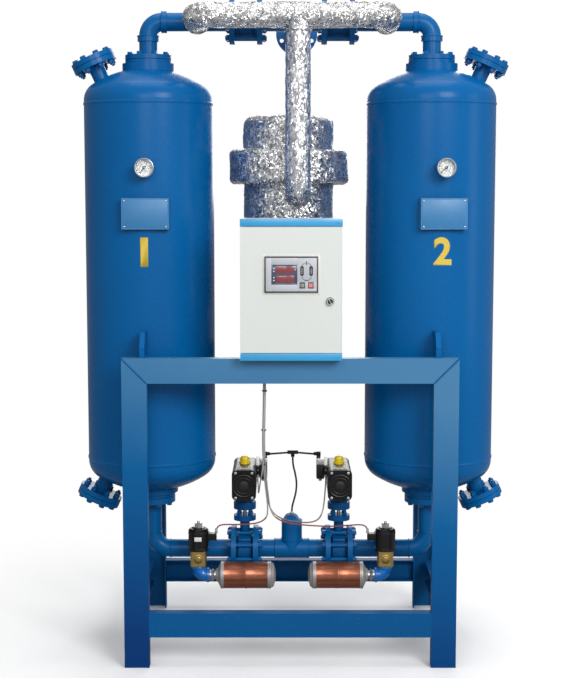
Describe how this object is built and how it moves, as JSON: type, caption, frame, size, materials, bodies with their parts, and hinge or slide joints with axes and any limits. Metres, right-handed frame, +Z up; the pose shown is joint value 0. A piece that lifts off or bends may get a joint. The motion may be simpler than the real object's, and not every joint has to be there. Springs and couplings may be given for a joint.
{
  "type": "desiccant air dryer",
  "caption": "Twin-tower desiccant compressed air dryer on a welded channel frame, with actuated butterfly valves, purge valves, a foil-wrapped heater and a control cabinet.",
  "frame": {"origin": "on the floor under the centre of the frame", "axes": "+X from the left tower to the right tower seen from the cabinet side, +Y towards the rear pipe ends, +Z up"},
  "size_m": [1.821, 1.024, 2.7095],
  "materials": {
    "frame_paint": "semi-gloss",
    "tower_paint": "gloss",
    "pipe_paint": "semi-gloss",
    "valve_paint": "semi-gloss",
    "bright_steel": "zinc plated",
    "actuator_aluminium": "anodised",
    "black_plastic": "matte",
    "yellow_plastic": "gloss",
    "brass": "cast and machined",
    "sintered_bronze": "sintered",
    "foil": "crinkled foil",
    "cabinet_paint": "fine texture",
    "lock_metal": "plated",
    "gear_plastic": "matte",
    "gauge_steel": "polished",
    "needle_paint": "matte",
    "plate_paint": "satin",
    "cable_sheath": "matte",
    "air_hose": "matte",
    "desiccant": "rough"
  },
  "bodies": {
    "skid": {"actuator_caps": "black_plastic", "air_tee": "black_plastic", "cabinet_box": "cabinet_paint", "control_gear": "gear_plastic", "deck_rails": "frame_paint", "desiccant_beds": "desiccant", "flange_studs": "bright_steel", "front_left_post": "frame_paint", "front_right_post": "frame_paint", "front_top_beam": "frame_paint", "heater_feed_pipe": "pipe_paint", "heater_head": "foil", "heater_rods": "bright_steel", "heater_vessel": "foil", "hot_air_header": "foil", "inlet_tee": "pipe_paint", "left_actuator": "actuator_aluminium", "left_bottom_pipe": "pipe_paint", "left_butterfly_body": "valve_paint", "left_cable": "cable_sheath", "left_check_valve": "valve_paint", "left_gauge_case": "gauge_steel", "left_pilot_cable": "cable_sheath", "left_silencer": "sintered_bronze", "left_top_pipe": "pipe_paint", "left_tower_shell": "tower_paint", "low_beams": "frame_paint", "name_plates": "plate_paint", "outlet_tee": "pipe_paint", "pilot_hose": "air_hose", "pilot_valves": "black_plastic", "port_covers": "tower_paint", "purge_coils": "black_plastic", "purge_elbows": "pipe_paint", "purge_valve_bodies": "brass", "rear_left_post": "frame_paint", "rear_right_post": "frame_paint", "rear_top_beam": "frame_paint", "right_actuator": "actuator_aluminium", "right_bottom_pipe": "pipe_paint", "right_butterfly_body": "valve_paint", "right_cable": "cable_sheath", "right_check_valve": "valve_paint", "right_gauge_case": "gauge_steel", "right_pilot_cable": "cable_sheath", "right_silencer": "sintered_bronze", "right_top_pipe": "pipe_paint", "right_tower_shell": "tower_paint", "side_beams": "frame_paint"},
    "door": {"cabinet_door": "cabinet_paint", "controller": "black_plastic"},
    "lock": {"door_lock": "lock_metal"},
    "start_button": {"start_key": "black_plastic"},
    "stop_button": {"stop_key": "black_plastic"},
    "left_disc": {"left_butterfly_disc": "bright_steel", "left_indicator": "yellow_plastic"},
    "right_disc": {"right_butterfly_disc": "bright_steel", "right_indicator": "yellow_plastic"},
    "left_needle": {"left_gauge_needle": "needle_paint"},
    "right_needle": {"right_gauge_needle": "needle_paint"}
  },
  "joints": [
    {"name": "door_hinge", "type": "hinge", "parent": "skid", "child": "door", "pos_m": [-0.1905, -0.4925, 1.537], "axis": [0, 0, -1], "range_deg": [0, 110]},
    {"name": "lock_turn", "type": "hinge", "parent": "door", "child": "lock", "pos_m": [0.155, -0.5, 1.493], "axis": [0, -1, 0], "range_deg": [0, 90]},
    {"name": "start_press", "type": "slide", "parent": "door", "child": "start_button", "axis": [0, 1, 0], "range_m": [0, 0.0015]},
    {"name": "stop_press", "type": "slide", "parent": "door", "child": "stop_button", "axis": [0, 1, 0], "range_m": [0, 0.0015]},
    {"name": "left_valve_turn", "type": "hinge", "parent": "skid", "child": "left_disc", "pos_m": [-0.194, 0, 0.384], "axis": [0, 0, 1], "range_deg": [0, 90]},
    {"name": "right_valve_turn", "type": "hinge", "parent": "skid", "child": "right_disc", "pos_m": [0.21, 0, 0.384], "axis": [0, 0, 1], "range_deg": [0, 90]},
    {"name": "left_needle_turn", "type": "hinge", "parent": "skid", "child": "left_needle", "pos_m": [-0.58159, -0.32129, 2.012], "axis": [-0.0262, 0.9997, 0], "range_deg": [0, 270]},
    {"name": "right_needle_turn", "type": "hinge", "parent": "skid", "child": "right_needle", "pos_m": [0.62081, -0.31992, 2.012], "axis": [-0.0958, 0.9954, 0], "range_deg": [0, 270]}
  ]
}
